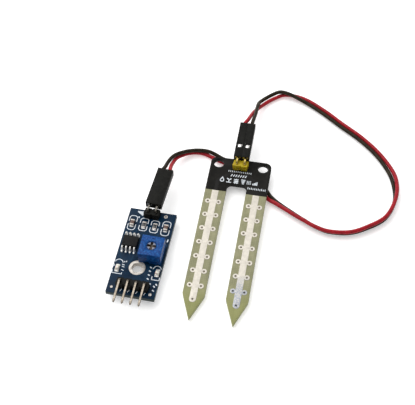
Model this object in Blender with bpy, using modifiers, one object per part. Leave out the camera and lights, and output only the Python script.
"""Soil moisture sensor: a two-pronged probe board, a comparator module and the two-wire cable that joins them.

Lengths are in millimetres and turned into metres by MM where a shape is made. +Z is up, the table is z = 0 and
+Y runs from the probe's tips towards its plug. Each board has an empty with its own frame: x = 0 on its centre
line, y = 0 on the edge that its plug points away from, z = 0 on its underside.
"""
import math

import bmesh
import bpy
from mathutils import Vector

MM = 0.001
GAP = 0.03                      # clearance between neighbouring solids
PITCH = 2.54                    # header and plug pitch
BOARD_T = 1.6
SHEET_T = 0.06                  # plated copper

# Probe board
PROBE_W, PROBE_L = 20.0, 60.0
PROBE_CORNER = 2.0
SLOT_W, SLOT_TOP, SLOT_CORNER = 6.44, 10.05, 1.5
SHOULDER = 51.7                 # where the prongs start to taper
PRONG_X = (PROBE_W + SLOT_W) / 4
PROBE_HOLE_R, PROBE_HOLE_X, PROBE_HOLE_Y = 1.7, 7.3, 2.35
PROBE_PIN_ROW = 3.25            # pin holes, from the head's edge
PROBE_TAIL = 1.87               # pin length under the board
STRIP_W, STRIP_TOP, STRIP_END = 2.1, 13.4, 53.45
PAD_ROWS, PAD_ROW0, PAD_PITCH = 7, 17.8, 5.16
PAD_X, PAD_R = 1.743, 0.875
VIA_R, VIA_WALL = 0.35, 0.1

# Comparator module
MODULE_W, MODULE_L = 15.0, 31.2
MODULE_TAIL = 2.0
BOLT_R, EYELET_R, BOLT_AT = 1.6, 2.55, (-0.1, -21.4)
INPUT_PIN_ROW, OUTPUT_PIN_ROW, OUTPUT_X = 1.95, 28.2, 0.3
CHIP_AT, CHIP_SIZE, LEAD_PITCH = (-4.3, -13.1), (4.9, 3.9, 1.45), 1.27
TRIMMER_AT, TRIMMER_W, TRIMMER_H = (3.3, -15.75), 7.0, 4.8
CHIP_PARTS = {"input_capacitor": (-5.55, 0.95), "pull_up_resistor": (-1.8, 0.5),
              "light_resistor": (1.7, 0.5), "supply_capacitor": (5.25, 0.95)}
CHIP_PARTS_Y, CHIP_PART_SIZE = -5.8, (1.25, 2.0)
LIGHTS = {"output_light": (-6.0, -22.6), "power_light": (6.4, -22.1)}
SMALL_VIA = (4.27, -1.4)

# Headers and plugs
PIN, BEND_R = 0.64, 0.3
PROBE_LEG, MODULE_LEG = 7.95, 7.7           # pin length past the bend, from the centre of the upright part
BASE_H = PITCH - 0.04
AXIS_H = BOARD_T + GAP + BASE_H + 0.55      # pins and plug, above a board's underside
PLUG_W, PLUG_H, PLUG_L = 5.1, 2.5, 14.2
SOCKET = 1.9                                # cavity, square
WINDOW_Y, WINDOW = 4.7, (1.4, 1.6)
TERMINAL_BOX_L, BARREL_Y = 7.0, (8.2, 11.2)
PROBE_PLUG_Y, MODULE_PLUG_Y = -1.9, -0.05   # mating faces, in each board's frame
PLUG_YAW = math.radians(-3)                 # the module's input pins are bent over a little to the right

# Where the boards lie
PROBE_AT = (11.3, 27.9)
PROBE_TILT = math.atan(PROBE_TAIL / (PROBE_L - PROBE_PIN_ROW))
MODULE_AT, MODULE_YAW = (-13.1, 2.6), math.radians(-1.3)

# Cable: the two wires lie side by side and turn slowly round each other. Each station is the pair's centre
# (x, y), its height over where the pair would rest on the table, the twist in degrees (0 puts the dark wire on
# the left of the way from the module to the probe, 90 puts it on top) and the wires' spacing.
WIRE_D = 1.3
WIRE_START = 8.6                            # along each plug, from its mating face
TOUCH = 1.38
STATIONS = [
    (-11.85, 19.2, 4.9, 4, 1.75), (-11.65, 22.5, 3.2, 30, 1.45), (-10.6, 26.2, 1.5, 75, 1.5),
    (-8.15, 29.0, 0.4, 92, 1.42), (-5.8, 30.3, 0, 95, TOUCH), (-3.4, 30.7, 0, 88, TOUCH),
    (-1.1, 30.6, 0, 65, TOUCH), (1.3, 30.0, 0, 28, TOUCH), (4.2, 28.9, 0, 0, TOUCH),
    (7.3, 28.0, 0, 0, TOUCH), (10.3, 27.4, 0, 0, TOUCH), (13.2, 26.5, 0, 0, TOUCH),
    (15.9, 24.4, 0, 0, TOUCH), (18.2, 21.3, 0, 0, TOUCH), (20.2, 18.5, 0, 0, TOUCH),
    (22.0, 16.2, 0, 0, TOUCH), (24.9, 14.1, 0, -36, TOUCH), (31.3, 10.4, 0, -50, TOUCH),
    (34.4, 8.8, 0, -55, TOUCH), (37.8, 7.1, 0, -60, TOUCH), (42.4, 5.9, 0, -66, TOUCH),
    (48.8, 6.6, 0, -72, TOUCH), (54.2, 9.5, 0, -80, TOUCH), (59.6, 14.3, 0, -84, TOUCH),
    (62.2, 21.9, 0, -83, TOUCH), (61.5, 29.6, 0, -35, TOUCH), (58.9, 35.3, 0, -10, TOUCH),
    (54.6, 40.9, 0, 0, TOUCH), (48.9, 46.1, 0, 0, 1.4), (42.0, 51.0, 0, 0, TOUCH),
    (35.2, 56.0, 0, 0, TOUCH), (28.3, 60.0, 0, 12, TOUCH), (21.7, 61.4, 0, 80, TOUCH),
    (17.6, 59.9, 0, 160, 1.6), (14.1, 55.8, 0.3, 145, 1.5), (12.7, 51.0, 1.9, 75, 1.5),
    (12.2, 46.8, 4.0, 25, 1.45), (11.8, 43.1, 5.6, 5, 1.75),
]
WIRE_POINTS = 84


def clear_scene():
    for thing in list(bpy.data.objects):
        bpy.data.objects.remove(thing)


def collection(name):
    made = bpy.data.collections.new(name)
    bpy.context.scene.collection.children.link(made)
    return made


clear_scene()
PART = collection("soil_moisture_sensor")
CUTTERS = collection("cutters")


def material(name, colour, roughness, metallic=0.0):
    made = bpy.data.materials.new(name)
    made.use_nodes = True
    shader = made.node_tree.nodes["Principled BSDF"]
    shader.inputs["Base Color"].default_value = (*colour, 1.0)
    shader.inputs["Roughness"].default_value = roughness
    shader.inputs["Metallic"].default_value = metallic
    return made


BLACK_MASK = material("black_mask", (0.020, 0.020, 0.019), 0.45)
BLUE_MASK = material("blue_mask", (0.010, 0.045, 0.130), 0.35)
TIN = material("tinned_copper", (0.78, 0.76, 0.74), 0.30, 1.0)
PIN_METAL = material("pin_metal", (0.72, 0.70, 0.64), 0.28, 1.0)
YELLOW = material("yellow_plastic", (0.75, 0.55, 0.03), 0.45)
BLACK = material("black_plastic", (0.015, 0.015, 0.015), 0.50)
CHIP_BLACK = material("chip_black", (0.022, 0.022, 0.024), 0.60)
TRIMMER_BLUE = material("trimmer_blue", (0.015, 0.120, 0.560), 0.40)
ROTOR_CREAM = material("rotor_cream", (0.60, 0.58, 0.52), 0.45)
CERAMIC = material("ceramic", (0.80, 0.78, 0.72), 0.50)
RESIN = material("resin", (0.70, 0.66, 0.52), 0.40)
LIGHT_WHITE = material("light_white", (0.80, 0.79, 0.74), 0.30)
WIRE_RED = material("wire_red", (0.42, 0.012, 0.020), 0.40)
WIRE_DARK = material("wire_dark", (0.035, 0.030, 0.018), 0.40)


def frame_empty(name, at, turn=(0, 0, 0), parent=None):
    made = bpy.data.objects.new(name, None)
    PART.objects.link(made)
    made.location = Vector(at) * MM
    made.rotation_euler = turn
    made.parent = parent
    return made


def piece(name, mesh, frame, look, at=(0, 0, 0), turn=(0, 0, 0), home=PART):
    """Places a mesh in a frame, with its own material."""
    made = bpy.data.objects.new(name, mesh)
    home.objects.link(made)
    made.parent = frame
    made.location = Vector(at) * MM
    made.rotation_euler = turn
    made.data.materials.clear()
    made.data.materials.append(look)
    return made


def guide(name, mesh, frame, at=(0, 0, 0), turn=(0, 0, 0)):
    """A solid that only cuts or joins another."""
    made = piece(name, mesh, frame, CERAMIC, at, turn, CUTTERS)
    made.hide_render = True
    made.display_type = "WIRE"
    return made


def combine(target, other, operation):
    step = target.modifiers.new(f"{operation.lower()}_{other.name}"[:60], "BOOLEAN")
    step.operation = operation
    step.object = other


def smooth(mesh):
    mesh.shade_smooth()
    mesh.set_sharp_from_angle(angle=math.radians(35))
    return mesh


def mesh_from(bm, name):
    made = bpy.data.meshes.new(name)
    bm.to_mesh(made)
    bm.free()
    return made


def block_mesh(name, size, top=(1.0, 1.0)):
    """A box centred on the origin, its top face scaled by top in x and y for a draft."""
    bm = bmesh.new()
    bmesh.ops.create_cube(bm, size=1.0)
    bmesh.ops.scale(bm, vec=Vector(size) * MM, verts=bm.verts)
    upper = [v for v in bm.verts if v.co.z > 0]
    bmesh.ops.scale(bm, vec=(top[0], top[1], 1.0), verts=upper)
    return mesh_from(bm, name)


def rod_mesh(name, radius, length, sides=24):
    """A cylinder along Z, centred on the origin."""
    bm = bmesh.new()
    bmesh.ops.create_cone(bm, cap_ends=True, segments=sides, radius1=radius * MM, radius2=radius * MM,
                          depth=length * MM)
    return smooth(mesh_from(bm, name))


def flat_mesh(name, outline, holes, thickness):
    """A flat outline with holes, centred on z = 0."""
    curve = bpy.data.curves.new(name, "CURVE")
    curve.dimensions = "2D"
    curve.fill_mode = "BOTH"
    curve.extrude = thickness * MM / 2
    for loop in [outline, *holes]:
        spline = curve.splines.new("POLY")
        spline.points.add(len(loop) - 1)
        for point, (x, y) in zip(spline.points, loop):
            point.co = (x * MM, y * MM, 0, 1)
        spline.use_cyclic_u = True
    sheet = bpy.data.objects.new(name, curve)
    CUTTERS.objects.link(sheet)
    made = bpy.data.meshes.new_from_object(sheet.evaluated_get(bpy.context.evaluated_depsgraph_get()))
    bpy.data.objects.remove(sheet)
    bm = bmesh.new()
    bm.from_mesh(made)
    bmesh.ops.remove_doubles(bm, verts=bm.verts, dist=1e-6)
    bmesh.ops.recalc_face_normals(bm, faces=bm.faces)
    bm.to_mesh(made)
    bm.free()
    return made


def arc(centre, radius, start, end, steps):
    """Points from one angle to another, in degrees, both ends included."""
    angles = [math.radians(start + (end - start) * i / steps) for i in range(steps + 1)]
    return [(centre[0] + radius * math.cos(a), centre[1] + radius * math.sin(a)) for a in angles]


def ring(centre, radius, sides):
    return arc(centre, radius, 0, 360 * (sides - 1) / sides, sides - 1)


def square(centre, side):
    h = side / 2
    return [(centre[0] + x, centre[1] + y) for x, y in ((-h, -h), (h, -h), (h, h), (-h, h))]


UPRIGHT = (math.pi / 2, 0, 0)                   # an outline's x, y become x, z
SIDE_ON = (math.pi / 2, 0, math.pi / 2)         # an outline's x, y become y, z
SIDE_BACK = (math.pi / 2, 0, -math.pi / 2)      # the same, facing -y


def bent_pin(name, frame, x, tip, row, tail, yaw=0.0):
    """A square header pin: along the axis from its tip, round the bend, then down through base and board.
    yaw turns it about its upright part."""
    h, chamfer, slope = PIN / 2, 0.17, 0.4
    centre = (-row + h + BEND_R, AXIS_H - h - BEND_R)
    outline = [(tip, AXIS_H - h + chamfer), (tip, AXIS_H + h - chamfer), (tip - slope, AXIS_H + h)]
    outline += arc(centre, BEND_R + PIN, 90, 180, 4)
    outline += [(-row - h, -tail + slope), (-row - h + chamfer, -tail), (-row + h - chamfer, -tail),
                (-row + h, -tail + slope)]
    outline += arc(centre, BEND_R, 180, 90, 3)
    outline += [(tip - slope, AXIS_H - h)]
    spot = (x - row * math.sin(yaw), row * (math.cos(yaw) - 1), 0)
    turn = (SIDE_ON[0], SIDE_ON[1], SIDE_ON[2] + yaw)
    return piece(name, flat_mesh(name, outline, [], PIN), frame, PIN_METAL, spot, turn)


def header_base(name, frame, ways, row, look):
    """A header's plastic base, standing on the board and notched between its ways, with a hole for each pin."""
    notch, width, depth = 0.32, ways * PITCH, PITCH - 0.04
    lefts = [-width / 2 + PITCH * i for i in range(ways)]
    near = [p for x in lefts
            for p in ((x, notch - depth / 2), (x + notch, -depth / 2), (x + PITCH - notch, -depth / 2))]
    far = [p for x in reversed(lefts)
           for p in ((x + PITCH, depth / 2 - notch), (x + PITCH - notch, depth / 2), (x + notch, depth / 2))]
    outline = near + [(width / 2, notch - depth / 2)] + far + [(-width / 2, depth / 2 - notch)]
    holes = [square((x + PITCH / 2, 0), PIN + 2 * GAP) for x in lefts]
    mesh = flat_mesh(name, outline, holes, BASE_H)
    return piece(name, mesh, frame, look, (0, -row, BOARD_T + GAP + BASE_H / 2))


def pin_xs(ways):
    return [PITCH * (i - (ways - 1) / 2) for i in range(ways)]


def probe_outline():
    """The probe board's right half from the top centre to the slot's top centre, then its mirror image."""
    half_w, half_slot = PROBE_W / 2, SLOT_W / 2
    right = arc((half_w - PROBE_CORNER, -PROBE_CORNER), PROBE_CORNER, 90, 0, 6)
    right += [(half_w, -SHOULDER), (PRONG_X, -PROBE_L), (half_slot, -SHOULDER)]
    right += arc((half_slot - SLOT_CORNER, -SLOT_TOP - SLOT_CORNER), SLOT_CORNER, 0, 90, 5)
    return right + [(-x, y) for x, y in reversed(right)]


def via_spots(side):
    """Centres of one electrode's plated holes: the pads' and the one at the strip's end."""
    rows = [-(PAD_ROW0 + PAD_PITCH * i) for i in range(PAD_ROWS)]
    spots = [(side * PRONG_X + reach, y) for y in rows for reach in (-PAD_X, PAD_X)]
    return spots + [(side * PRONG_X, -STRIP_END)]


def electrode_outline(side):
    """A strip with a round end and an ear at each pad."""
    mid, half = side * PRONG_X, STRIP_W / 2
    mouth = math.degrees(math.acos((PAD_X - half) / PAD_R))
    rows = [-(PAD_ROW0 + PAD_PITCH * i) for i in range(PAD_ROWS)]
    outline = [(mid - half, -STRIP_TOP), (mid + half, -STRIP_TOP)]
    for y in rows:
        outline += arc((mid + PAD_X, y), PAD_R, 180 - mouth, mouth - 180, 6)
    outline += arc((mid, -STRIP_END), half, 0, -180, 6)
    for y in reversed(rows):
        outline += arc((mid - PAD_X, y), PAD_R, -mouth, mouth - 360, 6)
    return outline


def electrode(name, frame, side):
    """Front sheet, back sheet and the plated barrels that join them, cut from one tall solid by the board's room."""
    spots = via_spots(side)
    lift = GAP + SHEET_T
    holes = [ring(spot, VIA_R, 8) for spot in spots]
    made = piece(name, flat_mesh(name, electrode_outline(side), holes, BOARD_T + 2 * lift), frame, TIN,
                 (0, 0, BOARD_T / 2))
    walls = [ring(spot, VIA_R + VIA_WALL, 8) for spot in spots]
    middle = square((side * PRONG_X, -PROBE_L / 2), 1.5 * PROBE_L)
    room = flat_mesh(f"{name}_room", middle, walls, BOARD_T + 2 * GAP)
    combine(made, guide(f"{name}_room", room, frame, (0, 0, BOARD_T / 2)), "DIFFERENCE")
    return made


def probe(frame):
    hole_spots = [(x, -PROBE_HOLE_Y) for x in (-PROBE_HOLE_X, PROBE_HOLE_X)]
    holes = [ring(spot, PROBE_HOLE_R, 24) for spot in hole_spots]
    holes += [ring((x, -PROBE_PIN_ROW), 0.5, 12) for x in pin_xs(2)]
    holes += [ring(spot, VIA_R + VIA_WALL + GAP, 8) for side in (-1, 1) for spot in via_spots(side)]
    board = flat_mesh("probe_board", probe_outline(), holes, BOARD_T)
    piece("probe_board", board, frame, BLACK_MASK, (0, 0, BOARD_T / 2))
    electrode("electrode_left", frame, -1)
    electrode("electrode_right", frame, 1)
    header_base("probe_header_base", frame, 2, PROBE_PIN_ROW, YELLOW)
    for side, x in zip(("left", "right"), pin_xs(2)):
        bent_pin(f"probe_pin_{side}", frame, x, PROBE_LEG - PROBE_PIN_ROW, PROBE_PIN_ROW, PROBE_TAIL)


def eyelet(frame):
    """The plated lining of the bolt hole: a turned sleeve with a thin flange on each face."""
    low, high = -GAP - SHEET_T, BOARD_T + GAP + SHEET_T
    inner, wall = BOLT_R, BOLT_R + VIA_WALL
    profile = [(inner, low), (inner, high), (EYELET_R, high), (EYELET_R, high - SHEET_T),
               (wall, high - SHEET_T), (wall, low + SHEET_T), (EYELET_R, low + SHEET_T), (EYELET_R, low)]
    bm = bmesh.new()
    verts = [bm.verts.new((r * MM, 0, z * MM)) for r, z in profile]
    for i, vert in enumerate(verts):
        bm.edges.new((verts[i - 1], vert))
    made = piece("bolt_hole_eyelet", mesh_from(bm, "bolt_hole_eyelet"), frame, TIN, (*BOLT_AT, 0))
    turn = made.modifiers.new("turn", "SCREW")
    turn.steps = turn.render_steps = 28
    turn.use_merge_vertices = True
    turn.merge_threshold = 1e-6
    return made


def chip(frame):
    """Eight-lead comparator: a drafted moulding with gull-wing leads on two sides."""
    length, width, height = CHIP_SIZE
    stand = 0.1
    body = block_mesh("comparator_chip_body", CHIP_SIZE, (0.96, 0.94))
    piece("comparator_chip_body", body, frame, CHIP_BLACK, (*CHIP_AT, BOARD_T + stand + height / 2))
    side = [(0, 0.85), (0.38, 0.85), (0.66, 0.2), (1.12, 0.2), (1.12, 0), (0.54, 0), (0.26, 0.65), (0, 0.65)]
    lead = flat_mesh("chip_lead", side, [], 0.4)
    xs = [CHIP_AT[0] + LEAD_PITCH * (i - 1.5) for i in range(4)]
    for i, x in enumerate(xs):
        rise = BOARD_T + GAP
        piece(f"chip_lead_{i + 1}", lead, frame, PIN_METAL, (x, CHIP_AT[1] - width / 2 - GAP, rise), SIDE_BACK)
        piece(f"chip_lead_{8 - i}", lead, frame, PIN_METAL, (x, CHIP_AT[1] + width / 2 + GAP, rise), SIDE_ON)


def trimmer(frame, turning):
    """Single-turn trimmer: a shell with a floor of resin, the resistive plate, the rotor and its wiper."""
    foot, wall, roof = BOARD_T + GAP, 0.5, 0.85
    inside = TRIMMER_W - 2 * wall
    neck_r, flange_r = 1.5, 2.45
    shell = block_mesh("trimmer_housing", (TRIMMER_W, TRIMMER_W, TRIMMER_H))
    housing = piece("trimmer_housing", shell, frame, TRIMMER_BLUE, (*TRIMMER_AT, foot + TRIMMER_H / 2))
    edge = housing.modifiers.new("edges", "BEVEL")
    edge.width = 0.25 * MM
    edge.segments = 2
    depth = TRIMMER_H - roof
    hollow = block_mesh("trimmer_hollow", (inside, inside, depth + 1))
    combine(housing, guide("trimmer_hollow", hollow, frame, (*TRIMMER_AT, foot + (depth - 1) / 2)), "DIFFERENCE")
    mouth = rod_mesh("trimmer_mouth", neck_r + 0.05, 3, 32)
    combine(housing, guide("trimmer_mouth", mouth, frame, (*TRIMMER_AT, foot + TRIMMER_H)), "DIFFERENCE")

    lead_spots = [(-PITCH, -PITCH), (PITCH, -PITCH), (0, PITCH)]
    fill = inside - 2 * GAP
    lead_r = 0.25
    seal_holes = [ring(spot, lead_r + GAP, 10) for spot in lead_spots]
    seal = flat_mesh("trimmer_base", square((0, 0), fill), seal_holes, 0.7)
    piece("trimmer_base", seal, frame, RESIN, (*TRIMMER_AT, foot + 0.45))
    plate = flat_mesh("trimmer_element", square((0, 0), fill), [ring((0, 0), 0.5, 12)], 0.5)
    piece("trimmer_element", plate, frame, CERAMIC, (*TRIMMER_AT, foot + 0.8 + GAP + 0.25))
    lead_top, lead_foot = foot + 0.8, -1.0
    for i, (x, y) in enumerate(lead_spots):
        lead = rod_mesh(f"trimmer_lead_{i + 1}", lead_r, lead_top - lead_foot, 8)
        spot = (TRIMMER_AT[0] + x, TRIMMER_AT[1] + y, (lead_top + lead_foot) / 2)
        piece(f"trimmer_lead_{i + 1}", lead, frame, PIN_METAL, spot)

    plate_top = foot + 0.8 + GAP + 0.5
    wiper_z, wiper_t = plate_top + 0.45, 0.15
    wiper = piece("trimmer_wiper", rod_mesh("trimmer_wiper", 2.2, wiper_t), turning, PIN_METAL, (0, 0, wiper_z))
    for i, angle in enumerate((0, math.pi)):
        finger = rod_mesh("wiper_finger", 0.3, 0.42, 8)
        spot = (1.8 * math.cos(angle), 1.8 * math.sin(angle), plate_top + GAP + 0.21)
        combine(wiper, guide(f"wiper_finger_{i}", finger, turning, spot), "UNION")
    flange_low, flange_high = wiper_z + wiper_t / 2 + GAP, foot + TRIMMER_H - roof - 0.05
    top = foot + TRIMMER_H - 0.1
    rotor = piece("trimmer_rotor", rod_mesh("trimmer_rotor", neck_r, top - flange_low, 32), turning, ROTOR_CREAM,
                  (0, 0, (top + flange_low) / 2))
    flange = rod_mesh("rotor_flange", flange_r, flange_high - flange_low - 0.02, 32)
    combine(rotor, guide("rotor_flange", flange, turning, (0, 0, (flange_high + flange_low) / 2)), "UNION")
    for i, size in enumerate(((2.4, 0.8, 1.6), (0.8, 2.4, 1.6))):
        arm = block_mesh("rotor_slot", size)
        combine(rotor, guide(f"rotor_slot_{i}", arm, turning, (0, 0, top)), "DIFFERENCE")


def small_parts(frame):
    """Two chip capacitors, two chip resistors and the two lights."""
    width, length = CHIP_PART_SIZE
    for name, (x, height) in CHIP_PARTS.items():
        made = piece(name, block_mesh(name, (width, length, height)), frame, LIGHT_WHITE,
                     (x, CHIP_PARTS_Y, BOARD_T + GAP + height / 2))
        edge = made.modifiers.new("edges", "BEVEL")
        edge.width = 0.08 * MM
    base_t, lens_t = 0.35, 0.5
    for name, (x, y) in LIGHTS.items():
        base = block_mesh(f"{name}_base", (width, length, base_t))
        piece(f"{name}_base", base, frame, LIGHT_WHITE, (x, y, BOARD_T + GAP + base_t / 2))
        lens = block_mesh(f"{name}_lens", (width - 0.1, length - 0.7, lens_t), (0.86, 0.86))
        piece(f"{name}_lens", lens, frame, LIGHT_WHITE, (x, y, BOARD_T + 2 * GAP + base_t + lens_t / 2))


def module(frame):
    half = MODULE_W / 2
    outline = [(-half, -MODULE_L), (half, -MODULE_L), (half, 0), (-half, 0)]
    holes = [ring(BOLT_AT, BOLT_R + VIA_WALL + GAP, 28), ring(SMALL_VIA, 0.4, 10)]
    holes += [ring((x, -INPUT_PIN_ROW), 0.5, 12) for x in pin_xs(2)]
    holes += [ring((OUTPUT_X + x, -OUTPUT_PIN_ROW), 0.5, 12) for x in pin_xs(4)]
    holes += [ring((TRIMMER_AT[0] + x, TRIMMER_AT[1] + y), 0.4, 10)
              for x, y in ((-PITCH, -PITCH), (PITCH, -PITCH), (0, PITCH))]
    board = flat_mesh("module_board", outline, holes, BOARD_T)
    piece("module_board", board, frame, BLUE_MASK, (0, 0, BOARD_T / 2))
    eyelet(frame)
    header_base("input_header_base", frame, 2, INPUT_PIN_ROW, BLACK)
    for side, x in zip(("left", "right"), pin_xs(2)):
        bent_pin(f"input_pin_{side}", frame, x, MODULE_LEG - INPUT_PIN_ROW, INPUT_PIN_ROW, MODULE_TAIL, PLUG_YAW)
    facing_out = frame_empty("output_side", (OUTPUT_X, -MODULE_L, 0), (0, 0, math.pi), frame)
    output_row = MODULE_L - OUTPUT_PIN_ROW
    header_base("output_header_base", facing_out, 4, output_row, BLACK)
    for i, x in enumerate(pin_xs(4)):
        bent_pin(f"output_pin_{4 - i}", facing_out, x, MODULE_LEG - output_row, output_row, MODULE_TAIL)
    chip(frame)
    trimmer(frame, frame_empty("trimmer_axis", (*TRIMMER_AT, 0), (0, 0, 0), frame))
    small_parts(frame)


def plug(name, frame, window_up, dark_side):
    """A two-way plug housing and its two crimped terminals. y runs from the mating face towards the wires."""
    cut = 0.26
    w, h = PLUG_W / 2, PLUG_H / 2
    outline = [(-w + cut, -h), (w - cut, -h), (w, -h + cut), (w, h - cut),
               (w - cut, h), (-w + cut, h), (-w, h - cut), (-w, -h + cut)]
    shell = flat_mesh(f"{name}_housing", outline, [], PLUG_L)
    housing = piece(f"{name}_housing", shell, frame, BLACK, (0, PLUG_L / 2, 0), UPRIGHT)
    up = 1 if window_up else -1
    for i, x in enumerate(pin_xs(2)):
        cavity = block_mesh(f"{name}_cavity", (SOCKET, PLUG_L + 2, SOCKET))
        combine(housing, guide(f"{name}_cavity_{i}", cavity, frame, (x, PLUG_L / 2, 0)), "DIFFERENCE")
        window = block_mesh(f"{name}_window", (*WINDOW, 1.0))
        combine(housing, guide(f"{name}_window_{i}", window, frame, (x, WINDOW_Y, up * (h - 0.1))), "DIFFERENCE")
        colour = "dark" if (x > 0) == (dark_side > 0) else "red"
        terminal(f"{name}_terminal_{colour}", frame, x, up)


def terminal(name, frame, x, up):
    """A socket box that takes the pin, its latch tang, a neck and the barrel crimped round the wire."""
    box_w, box_l = SOCKET - 2 * GAP, TERMINAL_BOX_L - 0.3
    made = piece(name, block_mesh(name, (box_w, box_l, box_w)), frame, TIN, (x, 0.3 + box_l / 2, 0))
    tang = block_mesh("tang", (0.8, 1.2, 0.5))
    combine(made, guide(f"{name}_tang", tang, frame, (x, WINDOW_Y, up * (box_w / 2))), "UNION")
    neck = block_mesh("neck", (0.9, 2.0, 0.9))
    combine(made, guide(f"{name}_neck", neck, frame, (x, TERMINAL_BOX_L + 0.5, 0)), "UNION")
    barrel_l = BARREL_Y[1] - BARREL_Y[0]
    barrel = rod_mesh("barrel", 0.85, barrel_l, 12)
    mid = (x, BARREL_Y[0] + barrel_l / 2, 0)
    combine(made, guide(f"{name}_barrel", barrel, frame, mid, UPRIGHT), "UNION")
    bore_w = PIN + 0.08
    bore = block_mesh("bore", (bore_w, TERMINAL_BOX_L, bore_w))
    combine(made, guide(f"{name}_bore", bore, frame, (x, TERMINAL_BOX_L / 2 - 0.1, 0)), "DIFFERENCE")
    crimp = rod_mesh("crimp", WIRE_D / 2 + 2 * GAP, barrel_l, 12)
    combine(made, guide(f"{name}_crimp", crimp, frame, (x, mid[1] + 0.35, 0), UPRIGHT), "DIFFERENCE")


def plug_run(frame):
    """Centres on a plug's axis, from inside its barrels to its rear."""
    ends = [WIRE_START, (WIRE_START + PLUG_L) / 2, PLUG_L]
    return [frame.matrix_world @ Vector((0, y * MM, 0)) / MM for y in ends]


def spline_value(a, b, c, d, t):
    """Catmull-Rom curve between b and c."""
    return b + 0.5 * t * (c - a + t * (2 * a - 5 * b + 4 * c - d + t * (3 * (b - c) + d - a)))


def smooth_rows(rows, fine):
    """Rows of numbers joined by one smooth curve, fine steps to each gap."""
    padded = [rows[0], *rows, rows[-1]]
    out = []
    for i in range(len(rows) - 1):
        span = padded[i:i + 4]
        out += [[spline_value(*column, k / fine) for column in zip(*span)] for k in range(fine)]
    return out + [list(rows[-1])]


def rest_height(twist, spacing):
    """Height of the pair's centre when its lower wire touches the table, eased where neither is lower."""
    lean = math.sqrt(math.sin(math.radians(twist)) ** 2 + 0.01)
    return WIRE_D / 2 + GAP + spacing / 2 * lean


def wire_paths(start, end):
    """Centrelines of the dark and the red wire, from the module's plug to the probe's."""
    plug_rows = [[(x, y, z - rest_height(0, PITCH), 0, PITCH) for x, y, z in run] for run in (start, end)]
    fine = smooth_rows(plug_rows[0] + STATIONS + plug_rows[1], 12)
    paths = {"dark": [], "red": []}
    for i, (x, y, lift, twist, spacing) in enumerate(fine):
        before, after = fine[max(i - 1, 0)], fine[min(i + 1, len(fine) - 1)]
        way = Vector((after[0] - before[0], after[1] - before[1], 0)).normalized()
        left = Vector((-way.y, way.x, 0))
        angle, spacing = math.radians(twist), max(spacing, TOUCH)
        reach = (left * math.cos(angle) + Vector((0, 0, math.sin(angle)))) * spacing / 2
        centre = Vector((x, y, rest_height(twist, spacing) + max(lift, 0)))
        paths["dark"].append(centre + reach)
        paths["red"].append(centre - reach)
    return paths


def evenly(points, count):
    """The same line with its points the same distance apart."""
    lengths = [0.0]
    for a, b in zip(points, points[1:]):
        lengths.append(lengths[-1] + (b - a).length)
    out, at = [], 0
    for k in range(count):
        want = lengths[-1] * k / (count - 1)
        while at < len(points) - 2 and lengths[at + 1] < want:
            at += 1
        share = (want - lengths[at]) / (lengths[at + 1] - lengths[at])
        out.append(points[at].lerp(points[at + 1], share))
    return out


def wire(name, points, look):
    curve = bpy.data.curves.new(name, "CURVE")
    curve.dimensions = "3D"
    curve.bevel_depth = WIRE_D / 2 * MM
    curve.bevel_resolution = 2
    curve.use_fill_caps = True
    spline = curve.splines.new("POLY")
    spline.points.add(len(points) - 1)
    for spot, point in zip(spline.points, points):
        spot.co = (*(point * MM), 1)
    made = bpy.data.objects.new(name, curve)
    PART.objects.link(made)
    curve.materials.append(look)
    return made


def main():
    head_height = PROBE_L * math.sin(PROBE_TILT)
    probe_frame = frame_empty("probe_frame", (*PROBE_AT, head_height), (PROBE_TILT, 0, 0))
    module_frame = frame_empty("module_frame", (*MODULE_AT, MODULE_TAIL), (0, 0, MODULE_YAW))
    probe_plug = frame_empty("probe_plug_frame", (0, PROBE_PLUG_Y, AXIS_H), (0, 0, 0), probe_frame)
    input_side = frame_empty("input_side", (0, -INPUT_PIN_ROW, 0), (0, 0, PLUG_YAW), module_frame)
    mating = (0, INPUT_PIN_ROW + MODULE_PLUG_Y, AXIS_H)
    module_plug = frame_empty("module_plug_frame", mating, (0, 0, 0), input_side)
    probe(probe_frame)
    module(module_frame)
    plug("probe_plug", probe_plug, True, 1)
    plug("module_plug", module_plug, False, -1)
    bpy.context.view_layer.update()
    paths = wire_paths(plug_run(module_plug), plug_run(probe_plug)[::-1])
    wire("wire_dark", evenly(paths["dark"], WIRE_POINTS), WIRE_DARK)
    wire("wire_red", evenly(paths["red"], WIRE_POINTS), WIRE_RED)


main()
